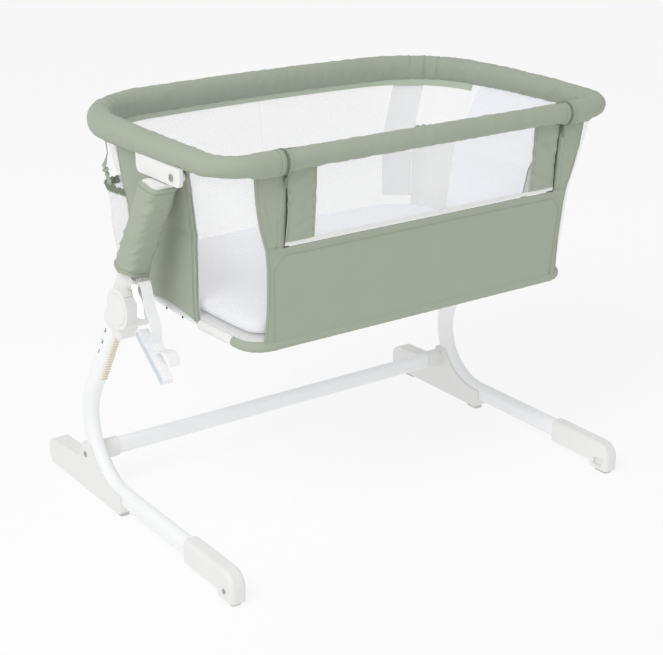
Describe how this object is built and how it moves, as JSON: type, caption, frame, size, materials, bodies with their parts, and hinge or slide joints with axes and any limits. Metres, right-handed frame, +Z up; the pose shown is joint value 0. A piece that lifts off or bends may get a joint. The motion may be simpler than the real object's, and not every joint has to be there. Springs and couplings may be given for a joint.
{
  "type": "bedside sleeper crib",
  "caption": "Bedside sleeper: mesh-sided cloth bassinet with a zip-down front, hung between two C-shaped telescoping legs with height latches, joined by a crossbar.",
  "frame": {"origin": "on the floor, under the middle of the overall box", "axes": "+X along the bassinet to the right end, -Y to the front, where the side drops and the bed stands, +Z up"},
  "size_m": [0.901, 0.672, 0.737],
  "materials": {
    "white_paint": "satin powder coat",
    "white_moulding": "fine moulded",
    "white_gloss": "semi-gloss",
    "pad_rubber": "matt",
    "screw_steel": "zinc plated",
    "rack_nylon": "ivory nylon",
    "latch_nylon": "nylon",
    "green_cloth": "sage green woven cloth",
    "padded_cloth": "sage green woven cloth over foam",
    "white_mesh": "fine knitted mesh",
    "green_elastic": "gathered elastic",
    "white_tape": "woven tape",
    "white_webbing": "ribbed webbing",
    "clear_plate": "translucent",
    "rail_metal": "plain tube",
    "white_sheet": "knitted sheet",
    "board": "plain",
    "zip_metal": "enamelled green"
  },
  "bodies": {
    "base": {"left_leg_tube": "white_paint", "right_leg_tube": "white_paint", "left_foot_base": "white_moulding", "right_foot_base": "white_moulding", "left_toe_cap": "white_moulding", "right_toe_cap": "white_moulding", "floor_pads": "pad_rubber", "base_screws": "screw_steel", "crossbar": "white_paint", "crossbar_sockets": "white_moulding", "left_height_rack": "rack_nylon", "right_height_rack": "rack_nylon"},
    "left_arm": {"left_hub_housing": "white_moulding", "left_hub_drum": "white_moulding", "left_hub_rim": "white_gloss", "left_pawl_spring": "screw_steel", "left_arm_tube": "white_paint", "left_arm_head": "white_moulding", "left_arm_cover": "green_cloth", "tether_screw": "screw_steel", "tether_strap": "white_webbing", "anchor_plate": "clear_plate"},
    "right_arm": {"right_hub_housing": "white_moulding", "right_hub_drum": "white_moulding", "right_hub_rim": "white_gloss", "right_pawl_spring": "screw_steel", "right_arm_tube": "white_paint", "right_arm_head": "white_moulding", "right_arm_cover": "green_cloth"},
    "left_button": {"left_push_button": "white_gloss"},
    "right_button": {"right_push_button": "white_gloss"},
    "left_tab": {"left_press_tab": "white_gloss"},
    "right_tab": {"right_press_tab": "white_gloss"},
    "left_pawl": {"left_latch_pawl": "latch_nylon"},
    "right_pawl": {"right_latch_pawl": "latch_nylon"},
    "bassinet": {"rail_tube": "rail_metal", "rail_cover": "padded_cloth", "left_rail_bracket": "white_moulding", "right_rail_bracket": "white_moulding", "pivot_pins": "screw_steel", "front_panel": "green_cloth", "corner_strips": "green_cloth", "end_meshes": "white_mesh", "left_end_panel": "green_cloth", "right_end_panel": "green_cloth", "back_mesh": "white_mesh", "back_strips": "white_tape", "storage_pocket": "white_mesh", "pocket_band": "green_elastic", "ring_tube": "rail_metal", "bottom_sheet": "white_sheet", "floor_board": "board", "mattress": "white_sheet", "zip_sliders": "zip_metal"},
    "drop_side": {"front_rail_tube": "rail_metal", "front_rail_cover": "padded_cloth", "window_mesh": "white_mesh", "drop_strips": "green_cloth", "drop_hem": "green_cloth"},
    "left_pull": {"left_zip_pull": "zip_metal"},
    "right_pull": {"right_zip_pull": "zip_metal"}
  },
  "joints": [
    {"name": "height", "type": "slide", "parent": "base", "child": "left_arm", "axis": [0, -0.5344, 0.8453], "range_m": [-0.084, 0.056]},
    {"name": "incline", "type": "slide", "parent": "left_arm", "child": "right_arm", "axis": [0, -0.5344, 0.8453], "range_m": [-0.056, 0.056]},
    {"name": "tilt", "type": "hinge", "parent": "left_arm", "child": "bassinet", "pos_m": [-0.4125, -0.17245, 0.686], "axis": [0, -0.8453, -0.5344], "range_deg": [-4, 4]},
    {"name": "drop", "type": "hinge", "parent": "bassinet", "child": "drop_side", "pos_m": [0, -0.2745, 0.5735], "axis": [1, 0, 0], "range_deg": [0, 165]},
    {"name": "left_button_press", "type": "slide", "parent": "left_arm", "child": "left_button", "axis": [1, 0, 0], "range_m": [0, 0.004], "stiffness_N_per_m": 400, "springref_m": -0.004},
    {"name": "left_tab_press", "type": "slide", "parent": "left_arm", "child": "left_tab", "axis": [0, 0.5344, -0.8453], "range_m": [0, 0.002], "stiffness_N_per_m": 300, "springref_m": -0.003},
    {"name": "left_pawl_slide", "type": "slide", "parent": "left_arm", "child": "left_pawl", "axis": [0, -0.8453, -0.5344], "range_m": [0, 0.004], "stiffness_N_per_m": 300, "springref_m": -0.004, "deforming": ["left_pawl_spring"]},
    {"name": "left_pull_swing", "type": "hinge", "parent": "bassinet", "child": "left_pull", "pos_m": [-0.2915, -0.2883, 0.6884], "axis": [-1, 0, 0], "range_deg": [0, 70]},
    {"name": "right_button_press", "type": "slide", "parent": "right_arm", "child": "right_button", "axis": [-1, 0, 0], "range_m": [0, 0.004], "stiffness_N_per_m": 400, "springref_m": -0.004},
    {"name": "right_tab_press", "type": "slide", "parent": "right_arm", "child": "right_tab", "axis": [0, 0.5344, -0.8453], "range_m": [0, 0.002], "stiffness_N_per_m": 300, "springref_m": -0.003},
    {"name": "right_pawl_slide", "type": "slide", "parent": "right_arm", "child": "right_pawl", "axis": [0, -0.8453, -0.5344], "range_m": [0, 0.004], "stiffness_N_per_m": 300, "springref_m": -0.004, "deforming": ["right_pawl_spring"]},
    {"name": "right_pull_swing", "type": "hinge", "parent": "bassinet", "child": "right_pull", "pos_m": [0.2915, -0.2883, 0.6884], "axis": [-1, 0, 0], "range_deg": [0, 70]}
  ],
  "couplings": [
    {"joint": "tilt", "follows": "incline", "rad_per_m": 1.2121},
    {"joint": "left_pawl_slide", "follows": "left_button_press", "ratio": 1},
    {"joint": "right_pawl_slide", "follows": "right_button_press", "ratio": 1}
  ]
}
